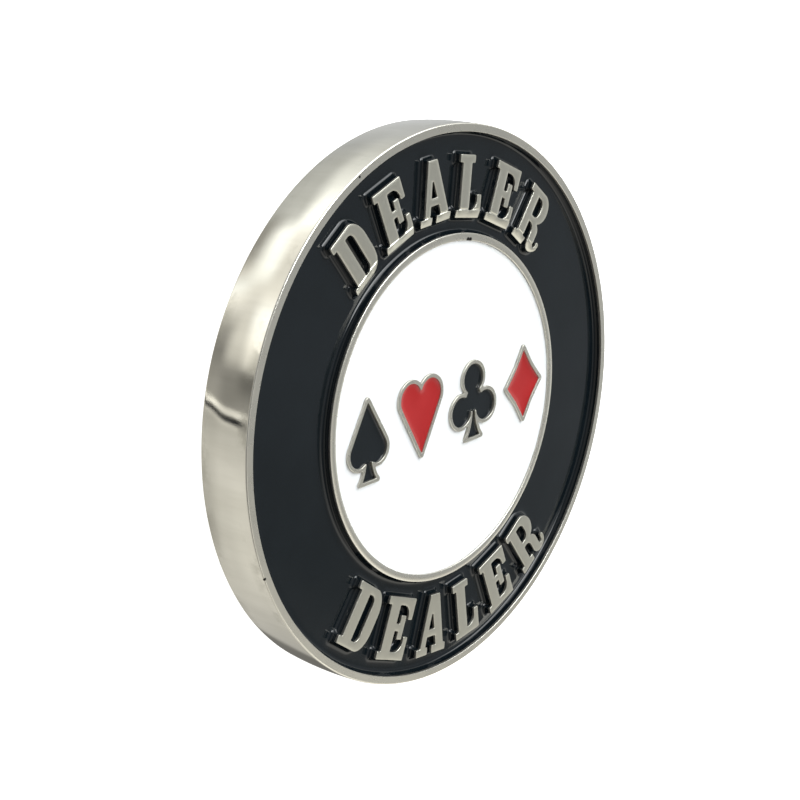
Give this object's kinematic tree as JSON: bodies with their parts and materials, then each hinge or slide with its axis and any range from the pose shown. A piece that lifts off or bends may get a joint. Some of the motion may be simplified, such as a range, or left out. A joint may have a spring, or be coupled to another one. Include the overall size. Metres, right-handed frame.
{
  "type": "dealer button",
  "caption": "Thick round cast metal medal with a raised rim, inner ring, curved lettering and playing-card suits, filled with black, white and red enamel on both faces.",
  "frame": {"origin": "middle of the lower face, on the table surface that the button lies on", "axes": "+Z through the thickness, out of the top face; +X along the row of suits from the spade to the diamond; +Y towards the upper word of the top face"},
  "size_m": [0.06, 0.06, 0.0061],
  "materials": {
    "nickel_plating": "warm nickel plating over cast zinc, polished on the rim and fine satin on the raised tops",
    "black_enamel": "glossy soft enamel",
    "white_enamel": "glossy soft enamel",
    "red_enamel": "glossy soft enamel"
  },
  "bodies": {
    "root": {"cast_body": "nickel_plating", "front_black_field": "black_enamel", "front_upper_d_counter": "black_enamel", "front_upper_a_counter": "black_enamel", "front_upper_r_counter": "black_enamel", "front_lower_d_counter": "black_enamel", "front_lower_a_counter": "black_enamel", "front_lower_r_counter": "black_enamel", "front_white_field": "white_enamel", "front_spade": "black_enamel", "front_heart": "red_enamel", "front_club": "black_enamel", "front_diamond": "red_enamel", "back_black_field": "black_enamel", "back_upper_d_counter": "black_enamel", "back_upper_a_counter": "black_enamel", "back_upper_r_counter": "black_enamel", "back_lower_d_counter": "black_enamel", "back_lower_a_counter": "black_enamel", "back_lower_r_counter": "black_enamel", "back_white_field": "white_enamel", "back_spade": "black_enamel", "back_heart": "red_enamel", "back_club": "black_enamel", "back_diamond": "red_enamel"}
  },
  "joints": []
}
